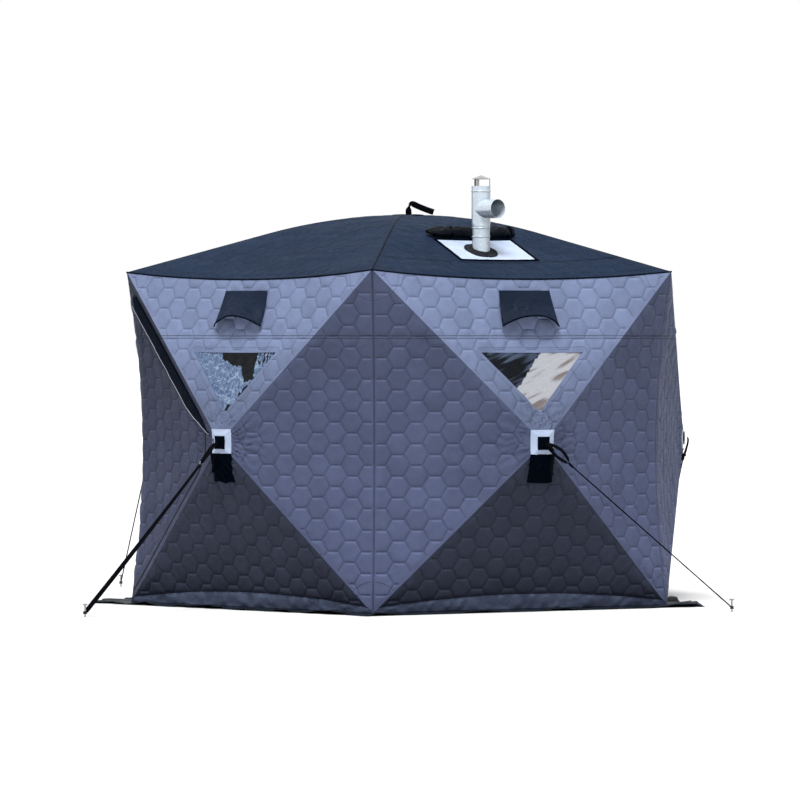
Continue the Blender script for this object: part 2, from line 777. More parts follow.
def smooth_path(points, count):
    """Points at even steps on a smooth curve through the given ones."""
    points = np.asarray(points, float)
    padded = np.vstack([2 * points[0] - points[1], points, 2 * points[-1] - points[-2]])
    steps = np.linspace(0, len(points) - 1, count)
    i = np.minimum(steps.astype(int), len(points) - 2)
    t = (steps - i)[:, None]
    a, b, c, d = (padded[i + j] for j in range(4))
    square, cube = 2 * a - 5 * b + 4 * c - d, 3 * b - a - 3 * c + d
    return 0.5 * (2 * b + (c - a) * t + square * t ** 2 + cube * t ** 3)


# Materials
MATERIALS = {}


class Tree:
    """Short calls for the nodes of one material, which is kept in the table of materials."""

    def __init__(self, name):
        self.material = MATERIALS[name] = bpy.data.materials.new(name)
        self.material.use_nodes = True
        self.nodes = self.material.node_tree.nodes
        self.links = self.material.node_tree.links
        self.shader = self.nodes["Principled BSDF"]
        self.place = self.node("ShaderNodeTexCoord").outputs["Object"]

    def node(self, kind, inputs=None, **settings):
        node = self.nodes.new(kind)
        for key, value in settings.items():
            setattr(node, key, value)
        for key, value in (inputs or {}).items():
            self.feed(node.inputs[key], value)
        return node

    def feed(self, socket, value):
        if isinstance(value, bpy.types.NodeSocket):
            self.links.new(value, socket)
        else:
            socket.default_value = value

    def set(self, **sockets):
        for key, value in sockets.items():
            self.feed(self.shader.inputs[key.replace("_", " ")], value)

    def math(self, operation, a, b=0.0, c=0.0):
        return self.node("ShaderNodeMath", {0: a, 1: b, 2: c}, operation=operation).outputs[0]

    def attribute(self, name):
        return self.node("ShaderNodeAttribute", attribute_name=name).outputs["Fac"]

    def noise(self, scale, detail=3.0, distortion=0.0, place=None):
        where = self.place if place is None else place
        settings = {"Vector": where, "Scale": scale, "Detail": detail, "Distortion": distortion}
        return self.node("ShaderNodeTexNoise", settings).outputs[0]

    def stretched(self, x, y, z):
        return self.node("ShaderNodeMapping", {"Vector": self.place, "Scale": (x, y, z)}).outputs[0]

    def ramp(self, value, low, high, out_low=0.0, out_high=1.0):
        settings = {"Value": value, "From Min": low, "From Max": high, "To Min": out_low, "To Max": out_high}
        return self.node("ShaderNodeMapRange", settings, interpolation_type="SMOOTHSTEP").outputs[0]

    def vary(self, noise, low, high):
        """A noise turned into values mostly between two others."""
        return self.ramp(noise, 0.3, 0.7, low, high)

    def line(self, signed_distance, half, soft):
        return self.ramp(self.math("ABSOLUTE", signed_distance), half, half + soft, 1.0, 0.0)

    def blend(self, factor, a, b, mode="MIX"):
        node = self.node("ShaderNodeMix", {0: factor, 6: a, 7: b}, data_type="RGBA", blend_type=mode)
        return node.outputs[2]

    def shade(self, colour, value):
        """A colour made lighter or darker by a value round 1."""
        grey = self.node("ShaderNodeCombineColor", {0: value, 1: value, 2: value}).outputs[0]
        return self.blend(1.0, colour, grey, "MULTIPLY")

    def bump(self, height, depth, normal=None):
        settings = {"Height": height, "Distance": depth, "Strength": 1.0}
        if normal is not None:
            settings["Normal"] = normal
        return self.node("ShaderNodeBump", settings).outputs[0]


def rgb(red, green, blue):
    return (red, green, blue, 1.0)


def quilted(name, low, high, hem=None, line_share=0.34, lip_share=0.34, seam_share=0.36, crease_depth=0.003,
            groove_depth=0.003, specular=0.1, span=(0.15, 1.7)):
    """Quilted polyester: stitched hexagons and seams, grain, creases, a tone that changes with height."""
    t = Tree(name)
    height = t.node("ShaderNodeSeparateXYZ", {0: t.place}).outputs["Z"]
    hex_d = t.attribute("hex_d")
    level = t.attribute("level")
    hexes = t.math("MULTIPLY", t.line(hex_d, 0.0008, 0.0036), t.ramp(level, 0.0, 1.0, 0.5, 1.0))
    lips = t.math("MULTIPLY", t.line(t.attribute("lip_d"), 0.001, 0.004), level)
    groove = t.ramp(hex_d, 0.0, 0.009)
    seam_a, seam_b = t.attribute("stitch_a"), t.attribute("stitch_b")
    band = t.math("SUBTRACT", t.math("ABSOLUTE", t.math("SUBTRACT", height, BAND_H)), 0.007)
    seams = t.math("MAXIMUM", t.line(seam_a, 0.0008, 0.003), t.line(seam_b, 0.0008, 0.003))
    seams = t.math("MAXIMUM", t.math("MULTIPLY", seams, 0.5), t.line(band, 0.001, 0.0028))
    seams = t.math("MAXIMUM", seams, t.line(t.attribute("seam_d"), 0.0026, 0.0035))
    colour = t.blend(t.ramp(height, *span), low, high)
    if hem:
        colour = t.blend(t.ramp(seam_a, 0.0, -0.002), colour, hem)
    cloud = t.ramp(t.noise(1.7, 4.0), 0.25, 0.75, 0.93, 1.07)
    patchy = t.vary(t.noise(14.0, 3.0), 0.96, 1.05)
    grain = t.vary(t.noise(620.0, 2.0), 0.94, 1.06)
    tone = t.ramp(t.attribute("tone"), 0.0, 1.0, 0.94, 1.06)
    for value in (cloud, patchy, grain, tone):
        colour = t.shade(colour, value)
    lines = t.math("MAXIMUM", t.math("MULTIPLY", hexes, line_share), t.math("MULTIPLY", seams, seam_share))
    colour = t.shade(colour, t.math("SUBTRACT", 1.0, lines))
    colour = t.shade(colour, t.math("MULTIPLY_ADD", lips, lip_share, 1.0))
    crease = t.noise(26.0, 5.0, 0.6)
    weave = t.node("ShaderNodeTexVoronoi", {"Vector": t.place, "Scale": 900.0}).outputs["Distance"]
    normal = t.bump(crease, crease_depth)
    normal = t.bump(weave, 0.0002, normal)
    normal = t.bump(t.math("SUBTRACT", groove, seams), groove_depth, normal)
    t.set(Base_Color=colour, Roughness=t.vary(t.noise(40.0, 3.0), 0.56, 0.72), Normal=normal)
    t.set(Specular_IOR_Level=specular)


def woven(name, colour, grain_scale=420.0, wear=0.12, roughness=0.5, crease_depth=0.003, specular=0.12,
          ior=1.5):
    """Plain coated cloth or webbing: cross weave, creases and paler wear."""
    t = Tree(name)
    threads = []
    for place in (t.place, t.stretched(-1, 1, 1)):
        settings = {"Vector": place, "Scale": grain_scale, "Distortion": 1.0}
        threads.append(t.node("ShaderNodeTexWave", settings, bands_direction="DIAGONAL").outputs["Fac"])
    weave = t.math("MULTIPLY", *threads)
    worn = t.ramp(t.noise(9.0, 6.0, 0.4), 0.5, 0.8, 0.0, wear)
    tone = t.vary(t.noise(3.0, 3.0), 0.85, 1.15)
    pale = tuple(min(1.0, c * 2.2 + 0.02) for c in colour[:3]) + (1.0,)
    base = t.shade(t.blend(worn, colour, pale), tone)
    base = t.shade(base, t.ramp(weave, 0.0, 1.0, 0.95, 1.05))
    normal = t.bump(t.noise(30.0, 5.0, 0.5), crease_depth)
    normal = t.bump(weave, 0.0001, normal)
    t.set(Base_Color=base, Roughness=t.vary(t.noise(22.0, 3.0), roughness - 0.08, roughness + 0.08),
          Normal=normal)
    t.set(Specular_IOR_Level=specular, IOR=ior)


def crinkled_film(name):
    """Clear window film: pale crinkled glare over the dark inside, by values on its points."""
    t = Tree(name)
    pale, warm, streak = t.attribute("pale"), t.attribute("warm"), t.attribute("streak")
    crinkle = t.noise(46.0, 6.0, 1.2)
    veins = t.line(t.math("SUBTRACT", t.noise(19.0, 3.0, 1.4), 0.5), 0.004, 0.03)
    fine = t.noise(150.0, 4.0, 0.6)
    ragged = t.math("ADD", pale, t.math("MULTIPLY", t.math("SUBTRACT", crinkle, 0.5), 0.16))
    glare = t.ramp(ragged, 0.44, 0.54)
    cool = t.blend(t.ramp(crinkle, 0.3, 0.7), rgb(0.052, 0.085, 0.163), rgb(0.117, 0.17, 0.288))
    cool = t.blend(t.math("MULTIPLY", veins, 0.45), cool, rgb(0.30, 0.39, 0.54))
    cool = t.blend(t.ramp(streak, 0.55, 1.0, 0.0, 0.5), cool, rgb(0.36, 0.45, 0.59))
    beige = t.blend(t.ramp(streak, -1.1, -0.1), rgb(0.165, 0.14, 0.14), rgb(0.375, 0.385, 0.42))
    beige = t.shade(beige, t.vary(fine, 0.95, 1.05))
    dark = t.blend(t.ramp(streak, -0.2, 0.8), rgb(0.003, 0.005, 0.008), rgb(0.055, 0.075, 0.12))
    colour = t.blend(glare, t.blend(warm, rgb(0.003, 0.004, 0.006), dark), t.blend(warm, cool, beige))
    normal = t.bump(t.math("ADD", crinkle, t.math("MULTIPLY", fine, 0.2)), 0.002)
    t.set(Base_Color=colour, Roughness=t.ramp(fine, 0.2, 0.8, 0.22, 0.36), Normal=normal)
    t.set(Specular_IOR_Level=0.18)


def insect_mesh(name):
    t = Tree(name)
    cells = t.node("ShaderNodeTexVoronoi", {"Vector": t.place, "Scale": 650.0}).outputs["Distance"]
    colour = t.blend(t.ramp(cells, 0.2, 0.6), rgb(0.03, 0.032, 0.036), rgb(0.002, 0.002, 0.003))
    t.set(Base_Color=colour, Roughness=0.7, Normal=t.bump(cells, 0.0006))


def galvanised(name, low, high):
    """Zinc-coated sheet: faint spangle, fine streaks, dull smudges and darker flanks."""
    t = Tree(name)
    spangle = t.node("ShaderNodeTexVoronoi", {"Vector": t.place, "Scale": 75.0}).outputs["Color"]
    bright = t.node("ShaderNodeSeparateColor", {0: spangle}).outputs[0]
    smudge = t.noise(16.0, 5.0, 0.6)
    streak = t.noise(9.0, 4.0, 0.0, t.stretched(14.0, 14.0, 1.0))
    colour = t.blend(t.ramp(bright, 0.0, 1.0, 0.4, 0.6), low, high)
    colour = t.shade(colour, t.ramp(smudge, 0.3, 0.75, 0.96, 1.02))
    colour = t.shade(colour, t.vary(streak, 0.96, 1.02))
    facing = t.node("ShaderNodeSeparateXYZ", {0: t.node("ShaderNodeNewGeometry").outputs["Normal"]}).outputs
    colour = t.shade(colour, t.ramp(facing["X"], -1.0, -0.72, 0.1, 1.0))
    colour = t.shade(colour, t.ramp(facing["X"], 0.5, 1.0, 1.0, 0.6))
    colour = t.shade(colour, t.ramp(facing["Z"], -0.85, 0.0, 0.2, 1.0))
    rough = t.math("ADD", t.ramp(bright, 0.0, 1.0, 0.24, 0.26), t.ramp(smudge, 0.35, 0.7, 0.0, 0.05))
    t.set(Base_Color=colour, Roughness=rough, Normal=t.bump(smudge, 0.0001))
    t.set(Metallic=0.3)


def steel(name):
    t = Tree(name)
    scratch = t.noise(60.0, 5.0, 0.0, t.stretched(8.0, 8.0, 1.0))
    colour = t.blend(t.ramp(scratch, 0.3, 0.7), rgb(0.30, 0.30, 0.31), rgb(0.58, 0.58, 0.6))
    t.set(Base_Color=colour, Roughness=t.vary(scratch, 0.28, 0.5), Normal=t.bump(scratch, 0.0006))
    t.set(Metallic=1.0)


def moulded(name, low, high, roughness):
    """Plastic or drawn glass-fibre rod: fine speckle, faint scuffs."""
    t = Tree(name)
    speckle, scuff = t.noise(380.0, 3.0), t.noise(24.0, 5.0, 0.3)
    colour = t.blend(t.ramp(speckle, 0.3, 0.7), low, high)
    colour = t.shade(colour, t.ramp(scuff, 0.35, 0.7, 0.9, 1.25))
    t.set(Base_Color=colour, Roughness=t.vary(scuff, roughness - 0.08, roughness + 0.12),
          Normal=t.bump(speckle, 0.0003))


def glass_cloth(name):
    """White coated fireproof cloth: coarse weave, soft creases, grey smudges."""
    t = Tree(name)
    weave = t.noise(300.0, 2.0)
    smudge = t.noise(7.0, 5.0, 0.5)
    colour = t.blend(t.ramp(smudge, 0.35, 0.7), rgb(0.45, 0.54, 0.71), rgb(0.535, 0.625, 0.79))
    colour = t.shade(colour, t.vary(weave, 0.95, 1.03))
    normal = t.bump(weave, 0.0004, t.bump(smudge, 0.006))
    t.set(Base_Color=colour, Roughness=t.vary(smudge, 0.42, 0.6), Normal=normal)


def felt(name):
    t = Tree(name)
    fibres, wear = t.noise(240.0, 6.0, 1.2), t.noise(18.0, 4.0)
    colour = t.blend(t.ramp(fibres, 0.3, 0.75), rgb(0.004, 0.005, 0.006), rgb(0.03, 0.033, 0.038))
    colour = t.shade(colour, t.vary(wear, 0.8, 1.3))
    t.set(Base_Color=colour, Roughness=0.85, Specular_IOR_Level=0.1, Normal=t.bump(fibres, 0.0012))


# The hut's materials
quilted("quilt_upper", rgb(0.107, 0.132, 0.217), rgb(0.157, 0.194, 0.319), line_share=0.26,
        lip_share=0.16, span=(1.05, 1.45))
quilted("quilt_side", rgb(0.073, 0.088, 0.163), rgb(0.058, 0.070, 0.124))
quilted("quilt_door", rgb(0.046, 0.055, 0.100), rgb(0.024, 0.030, 0.052))
quilted("quilt_lower", rgb(0.026, 0.031, 0.052), rgb(0.026, 0.031, 0.052), hem=rgb(0.10, 0.125, 0.205))
quilted("quilt_roof", rgb(0.0125, 0.0238, 0.050), rgb(0.0125, 0.0238, 0.050), line_share=0.22,
        lip_share=0.12, seam_share=0.85, crease_depth=0.0008, groove_depth=0.0012, specular=0.03)
woven("black_fabric", rgb(0.0028, 0.0048, 0.0085), wear=0.04)
woven("hood_cloth", rgb(0.008, 0.015, 0.032), wear=0.04, specular=0.06)
woven("flap_cloth", rgb(0.0035, 0.0065, 0.0135), wear=0.03, specular=0.03, ior=1.15)
woven("pocket_cloth", rgb(0.0008, 0.002, 0.0048), wear=0.03, specular=0.03, ior=1.15)
crinkled_film("clear_film")
insect_mesh("mesh")
woven("skirt_fabric", rgb(0.009, 0.014, 0.022), wear=0.06, crease_depth=0.006)
moulded("fibreglass", rgb(0.10, 0.10, 0.11), rgb(0.17, 0.17, 0.18), 0.35)
moulded("black_plastic", rgb(0.008, 0.008, 0.009), rgb(0.016, 0.016, 0.018), 0.45)
woven("pale_patch", rgb(0.38, 0.455, 0.61), wear=0.0, roughness=0.5)
woven("webbing", rgb(0.0025, 0.0032, 0.0045), wear=0.03, grain_scale=260.0, crease_depth=0.001,
      specular=0.04, ior=1.15)
woven("rope", rgb(0.003, 0.004, 0.006), wear=0.03, grain_scale=500.0, crease_depth=0.0005, specular=0.04,
      ior=1.15)
steel("peg_steel")
glass_cloth("fireproof_sheet")
felt("black_felt")
galvanised("galvanised", rgb(0.60, 0.69, 0.78), rgb(0.68, 0.765, 0.855))
galvanised("dull_zinc", rgb(0.26, 0.26, 0.27), rgb(0.42, 0.42, 0.42))
woven("white_piping", rgb(0.30, 0.32, 0.36), wear=0.0, crease_depth=0.0005)


# Pieces
def piece(name, mesh, slot, nodes=(), material=None):
    """A shown piece of the hut that rides on its one body."""
    obj = bpy.data.objects.new(name, mesh)
    bpy.context.collection.objects.link(obj)
    mesh.materials.append(MATERIALS[material or slot])
    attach(obj, "root")
    if nodes:
        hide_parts(*nodes)
    return obj


def shell_piece(name, shells, slot, nodes=(), material=None):
    return piece(name, joined(name, shells), slot, nodes, material)


# Quilted walls
def door_corners():
    """Outline of the zip door in its panel's plane, from the foot of its lower side round to the top."""
    front = shape(DOOR_WALL)
    sides = []
    for slant in (front.door_top, front.door_low):
        slope = math.tan(slant)
        reach = DOOR_BORDER / math.sin(slant)
        flat = (DOOR_TIP - reach) * slope * DOOR_FLAT_SHARE
        shoulder = reach + flat / slope / DOOR_FLAT_SHARE + flat
        outer = [(-x, (x - reach) * slope) for x in (shoulder, reach + SIDE_L)]
        sides.append([(-DOOR_TIP, flat)] + outer)
    return np.array([(x, -y) for x, y in sides[1][::-1]] + sides[0])


def hub_creases(points, seed):
    """Creases that fan out from a hub's patch."""
    reach = np.linalg.norm(points, axis=1)
    angle = np.arctan2(points[:, 1], points[:, 0])
    broad = np.sin(angle * BROAD_CREASES + 2.6 * ripple(points, 0.16, seed))
    fine = np.sin(angle * FINE_CREASES + 3 * ripple(points, 0.1, seed + 9))
    return HUB_CREASE_H * (broad + 0.5 * fine) * fade(reach, 0.07, 0.1) * (1 - fade(reach, 0.14, 0.36))


def wall_cloth(k, panel, points):
    """How far the quilted cloth of wall k stands out, and the values that its material reads."""
    seed = WALL_SEED_STEP * k + PART_SEED_STEP * len(panel.part)
    zipped = k == DOOR_WALL and panel.part == "left"
    face = panel.front(points)
    height = face[:, 1] + HUB_H
    edge = panel.edge_distance(points)
    reach = np.linalg.norm(points, axis=1)
    values = stitching(points)
    soft = fade(edge, 0.0, 0.03) * fade(reach, 0.08, 0.15)
    calm = fade(edge, 0.0, 0.04)
    if zipped:
        away = distance(points, door_corners())
        soft, calm = soft * fade(away, 0.006, 0.04), calm * fade(away, 0.0, 0.05)
    patches = [np.linalg.norm(points - corner, axis=1) - CORNER_PATCH_R
               for corner in (panel.end, panel.start)]
    stitch_a, stitch_b = patches
    plain = 1 - fade(np.minimum(*patches), -0.006, 0.004)
    if panel.part == "upper":
        holes = shape(k).holes
        for hole in holes:
            soft = soft * fade(distance(points, closed(hole)), 0.0, WINDOW_BORDER)
        stitch_a = distance(points, closed(holes[0])) - WINDOW_BORDER
        stitch_b = np.minimum(*patches)
    elif panel.part == "lower":
        u = (face[:, 0] / (panel.end[0] - panel.start[0]) + 0.5).clip(0, 1)
        stitch_a = height - (HEM_H + HEM_ARCH * bow(u))
        stitch_b = np.minimum(*patches)
        soft = soft * fade(stitch_a, -0.004, 0.012)
        plain = 0.0
    quilt = QUILT_H * pillow(values["hex_d"]) * soft * (1 - 0.7 * plain)
    band = np.abs(height - BAND_H)
    quilt = quilt * (1 - 0.9 * bell(band, 0.014)) + 0.0012 * plain
    gather = ripple(points * np.array([1, 0.3]), 0.075, seed + 2)
    pucker = PUCKER_H * gather * (bell(band - 0.03, 0.03) + 0.6 * bell(edge - 0.03, 0.025))
    near = calm if zipped else fade(edge, 0.0, 0.015)
    lift = quilt + calm * (ripples(points, WALL_BILLOW, seed) + pucker) + near * hub_creases(points, seed + 3)
    if panel.part == "lower":
        hem = 1 - fade(stitch_a, -0.01, 0.006)
        lift = lift - 0.004 * bell(stitch_a, 0.007) * calm
        ruffle = ripple(points * np.array([1, 0.25]), 0.06, seed + 4)
        lift = lift + hem * fade(edge, 0, 0.02) * RUFFLE_H * ruffle
    for key in ("hex_d", "lip_d"):
        values[key] = values[key] + 0.012 * (1 - fade(soft, 0.0, 0.5))
    seam = distance(points, panel.outer)
    lift = np.maximum(lift, -LIFT_FLOOR_SHARE * FABRIC_T)
    return lift, values | {"stitch_a": stitch_a, "stitch_b": stitch_b, "seam_d": seam}


def wall_piece(name, panel, region, k, slot, material=None):
    lift, values = wall_cloth(k, panel, region.points)
    front = on_wall(k, panel, region.points, lift)
    back = wall_to_world(k, panel.back(region.back_points))
    return piece(name, region.cloth(name, front, back, values), slot, [name], material)


def wall_slab(k, panel, plane, lifts, grid):
    """Shell between two heights over a panel, on a grid of points of its plane."""
    return slab(*(on_wall(k, panel, plane, lift).reshape(*grid, 3) for lift in lifts))


def keep_in(outline, holes=()):
    """Test for points in an outline and in none of its holes."""
    def keep(points):
        kept = inside(points, outline)
        for hole in holes:
            kept &= ~inside(points, hole)
        return kept

    return keep


def wall_regions(wall):
    regions = {}
    for part, panel in wall.panels.items():
        holes = wall.holes if part == "upper" else []
        loops = [panel.outline] + [subdivide(closed(hole), LATTICE) for hole in holes]
        regions[part] = Region(loops, keep_in(panel.outline, holes))
    return regions


def make_walls():
    regions = {out: wall_regions(wall) for out, wall in SHAPES.items()}
    slots = {"upper": "quilt_upper", "lower": "quilt_lower", "left": "quilt_side", "right": "quilt_side"}
    for k, wall in enumerate(WALLS):
        for part, region in regions[bulge(k)].items():
            if k == DOOR_WALL and part == "left":
                continue
            obj = wall_piece(f"wall_{wall}_{part}", shape(k).panels[part], region, k, slots[part])


def make_door():
    """Zip door and the border that it is zipped to."""
    panel = shape(DOOR_WALL).panels["left"]
    door = door_corners()
    loops = [panel.outline, subdivide(closed(door), LATTICE)]
    leaf = Region(loops, lambda p: inside(p, panel.outline) & inside(p, door))
    surround = Region(loops, keep_in(panel.outline, [door]))
    wall_piece("door_panel", panel, leaf, DOOR_WALL, "quilt_side", "quilt_door")
    border = wall_piece("door_surround", panel, surround, DOOR_WALL, "quilt_side", "quilt_door")


# Windows and vents
def film_values(points, k):
    """Where the film is pale with glare, where that glare is warm, and its streaks."""
    x = points[:, 0] / (WINDOW_W / 2)
    y = (points[:, 1] - WINDOW_UP) / WINDOW_H
    cloud = ripples(points, FILM_CLOUD, k)
    if k == JACK_WALL:
        level, steep = math.cos(STREAK_LEAN), math.sin(STREAK_LEAN)
        slant = np.column_stack([(points[:, 0] * level + points[:, 1] * steep) * STREAK_SQUEEZE,
                                 points[:, 1] * level - points[:, 0] * steep])
        pale = fade(x - 0.85 * y + 0.69 + 0.03 * cloud, -0.04, 0.04)
        return pale, np.ones(len(points)), ripples(slant, FILM_STREAK, k)
    x = x if k == DOOR_WALL else -x
    top = 0.88 - 0.13 * fade(x, -0.3, 0.1) - 0.24 * fade(x, 0.16, 0.36)
    blotch = fade(y - top - 0.5 * (1 - fade(x, -0.42, -0.3)) + 0.05 * cloud, -0.03, 0.03)
    drips = fade(np.sin(75 * x + 2 * cloud), 0.1, 0.5) * fade(y, 0.76, 0.82)
    blotch = blotch * (1 - fade(x + 0.03 * cloud, 0.5, 0.56) * (1 - drips))
    edge = fade(x - y + 0.05 + 0.1 * cloud, 0.0, 0.05) * (1 - fade(y, 0.5, 0.65))
    fan = np.arctan2(y - 0.5, x + 0.95)
    return 1 - np.maximum(blotch, edge), np.zeros(len(points)), np.sin(fan * 34 + 2.5 * cloud)


def make_windows():
    corners = window_corners()
    outline = subdivide(closed(corners), FILM_LATTICE)
    region = Region([outline], keep_in(corners), FILM_LATTICE, FILM_BACK_LATTICE)
    calm = fade(distance(region.points, closed(corners)), 0, 0.03)
    shells, values = [], {"pale": [], "warm": [], "streak": []}
    for k in range(SIDES):
        panel = shape(k).panels["upper"]
        crinkle = ripples(region.points * np.array([1, 1.6]), FILM_CRINKLE, k) * calm
        front = on_wall(k, panel, region.points, np.maximum(crinkle, -0.0016) - 0.35 * FABRIC_T)
        back = on_wall(k, panel, region.back_points, -0.7 * FABRIC_T)
        shells.append(region.shell(front, back))
        for key, value in zip(values, film_values(region.points, k)):
            values[key].append(np.concatenate([value, np.zeros(len(back))]))
    mesh = joined("window_films", shells, {key: np.concatenate(v) for key, v in values.items()})
    films = piece("window_films", mesh, "clear_film", ["window_panes"])


def make_screens():
    x, v = np.meshgrid(np.linspace(-SCREEN_W / 2, SCREEN_W / 2, 24), np.linspace(0, SCREEN_H, 12))
    shells = []
    for k in range(SIDES):
        flat = np.column_stack([x.ravel(), v.ravel() + shape(k).screen_up])
        sag = -0.0015 * bow((flat[:, 0] / SCREEN_W + 0.5)) + ripples(flat, NET_RIPPLE, k)
        lifts = [sag - depth * FABRIC_T for depth in (0.45, 0.6)]
        shells.append(wall_slab(k, shape(k).panels["upper"], flat, lifts, x.shape))
    screens = shell_piece("vent_nets", shells, "mesh", ["vent_screens"])


def hood_points(a, v, k, lift):
    """Scoop of a vent hood: sewn along its top and sides, open along its arched lower edge."""
    across = (a - 0.5) * mix(HOOD_TOP_W, HOOD_LOW_W, v)
    up = shape(k).hood_up + HOOD_H * (1 - v) + HOOD_ARCH * bow(a) * v - HOOD_DROP * (1 - bow(a)) * v ** 2
    plane = np.column_stack([across.ravel(), up.ravel()])
    shares = np.column_stack([a.ravel(), v.ravel()])
    crease = ripples(shares, HOOD_CREASE, k)
    hem = 0.0022 * bell(v.ravel() - 0.955, 0.03) + 0.0016 * bell(np.minimum(a, 1 - a).ravel(), 0.035)
    free = (bow(a) ** 0.8 * v ** 1.15).ravel()
    prop = HOOD_PROP * v.ravel() ** 1.6
    depth = HOOD_SEAT + prop + (HOOD_DEPTH - HOOD_PROP) * free + crease * fade(free, 0.0, 0.5) + hem
    return on_wall(k, shape(k).panels["upper"], plane, depth + lift).reshape(*a.shape, 3)


def make_hoods():
    a, v = np.meshgrid(np.linspace(0, 1, 49), np.linspace(0, 1, 29))
    shells, bindings = [], []
    for k in range(SIDES):
        outer, inner = hood_points(a, v, k, HOOD_T), hood_points(a, v, k, 0.0)
        shells.append(slab(outer, inner))
        bindings.append(tube(mix(outer[-1], inner[-1], 0.5), HOOD_BINDING_R, TUBE_SIDES))
    hoods = shell_piece("vent_hood_scoops", shells, "black_fabric", ["vent_hoods"], "hood_cloth")
    shell_piece("vent_hood_bindings", bindings, "black_fabric", material="pocket_cloth")


# Door trims
def on_door_cloth(centre, across, offsets, lifts):
    """Rows of points along a line of the door's plane, with offsets across it and heights over the cloth."""
    panel = shape(DOOR_WALL).panels["left"]
    base = np.maximum(wall_cloth(DOOR_WALL, panel, centre)[0], 0)
    return np.stack([on_wall(DOOR_WALL, panel, centre + offset * across, base + lift)
                     for offset, lift in zip(offsets, lifts)])


def make_zip():
    """Zip round the door: two tapes and a row of teeth."""
    line = subdivide(door_corners(), ZIP_STEP)
    line = line[inside(line * 1.004, shape(DOOR_WALL).panels["left"].outline)]
    tangent = unit(np.gradient(line, axis=0))
    across = np.column_stack([-tangent[:, 1], tangent[:, 0]])
    offsets = [-0.0065, -0.0045, -0.0025, 0.0, 0.0025, 0.0045, 0.0065]
    tops = [0.0008, 0.0014, 0.002, 0.0026, 0.002, 0.0014, 0.0008]
    teeth = ZIP_TOOTH_H * np.where(np.arange(len(line)) % 2, 1.0, -1.0)
    lifts = [top + teeth * (abs(offset) < 0.003) for offset, top in zip(offsets, tops)]
    tape = slab(on_door_cloth(line, across, offsets, lifts),
                on_door_cloth(line, across, offsets, [-0.001] * len(offsets)))
    shell_piece("door_zip_tape", [tape], "black_fabric", ["door_zip"])


def make_flap():
    """Flap over the upper half of the door's zip, with a pale piping along its free edge."""
    count, rows = 150, 15
    slant_turn = shape(DOOR_WALL).door_top
    slant = np.array([-math.cos(slant_turn), math.sin(slant_turn)])
    across = np.array([-math.sin(slant_turn), -math.cos(slant_turn)])
    start = np.array([-DOOR_BORDER / math.sin(slant_turn), 0.0])
    shares = np.linspace(FLAP_START_SHARE - FLAP_POINT_SHARE, FLAP_END_SHARE, count)
    line = start + shares[:, None] * POLE_L * slant
    narrow = np.minimum(1, (np.linspace(0, 1, count) + 0.002) / 0.26) ** 0.75
    wave = ripples(line, FLAP_WAVE)
    panel = shape(DOOR_WALL).panels["left"]
    grids = []
    for depth in (0.0, FLAP_T):
        grid = []
        for share in np.linspace(0, 1, rows):
            place = line + (share * FLAP_W * narrow)[:, None] * across
            lift = FLAP_LIFT + wave * share + 0.002 * bow(share) - depth
            grid.append(on_wall(DOOR_WALL, panel, place, lift))
        grids.append(np.stack(grid))
    flap = shell_piece("door_zip_cover", [slab(*grids)], "black_fabric", ["door_zip_flap"], "flap_cloth")
    piping = tube(mix(grids[0][-1], grids[1][-1], 0.5), FLAP_PIPING_R, TUBE_SIDES)
    shell_piece("door_piping", [piping], "pale_patch", material="white_piping")


# Roof
def roof_cloth(points, eave, seed, seam_out=None):
    """How far a roof panel's cloth stands up, and the values that its material reads."""
    edge = distance(points, eave)
    ribs = np.minimum(*(distance(points, np.vstack([np.zeros(2), c])) for c in (eave[0], eave[-1])))
    values = stitching(points)
    calm = fade(np.minimum(edge, ribs), 0.0, 0.05)
    quilt = ROOF_QUILT_H * pillow(values["hex_d"]) * fade(np.minimum(edge, ribs), 0.01, 0.06)
    billow = ripples(points, ROOF_BILLOW, seed)
    gather = 0.0016 * ripple(points * np.array([0.3, 1]), 0.08, seed + 2) * bell(edge - 0.05, 0.04)
    stitch_a = edge - 0.055
    lift = quilt + calm * (billow + gather - 0.001 * bell(stitch_a, 0.006))
    lift = np.maximum(lift, -LIFT_FLOOR_SHARE * FABRIC_T)
    stitch_b = np.ones(len(points)) if seam_out is None else (points[:, 0] - seam_out) / 4
    return lift, values | {"stitch_a": stitch_a, "stitch_b": stitch_b, "seam_d": np.minimum(ribs, edge)}


def jack_corners(shrink):
    l, w = JACK_L / 2 - shrink, JACK_W / 2 - shrink
    return np.array([[JACK_OUT - l, -w], [JACK_OUT + l, -w], [JACK_OUT + l, w], [JACK_OUT - l, w]])


def make_roof():
    outline, eave = roof_outline()
    opening = jack_corners(JACK_LAP)
    plain = Region([outline], keep_in(outline))
    jacked = Region([outline, subdivide(closed(opening), LATTICE)], keep_in(outline, [opening]))
    for k, wall in enumerate(WALLS):
        region = jacked if k == JACK_WALL else plain
        seam_out = JACK_OUT + JACK_L / 2 + 0.02 if k == JACK_WALL else None
        lift, values = roof_cloth(region.points, eave, ROOF_SEED + ROOF_SEED_STEP * k, seam_out)
        if k == JACK_WALL:
            middle = jack_corners(0.0)
            away = distance(region.points, closed(middle))
            lift = lift * fade(away, 0.0, 0.05) * ~inside(region.points, middle)
        front = on_roof(k, region.points, lift)
        back = on_roof(k, region.back_points, -FABRIC_T)
        name = f"roof_{wall}"
        piece(name, region.cloth(name, front, back, values), "quilt_roof", [name])
    line = eave * np.array([1.001, 1])
    piping = [tube(on_roof(k, line, 0.0), EAVE_PIPING_R, TUBE_SIDES) for k in range(SIDES)]
    shell_piece("eave_piping", piping, "quilt_roof", material="flap_cloth")


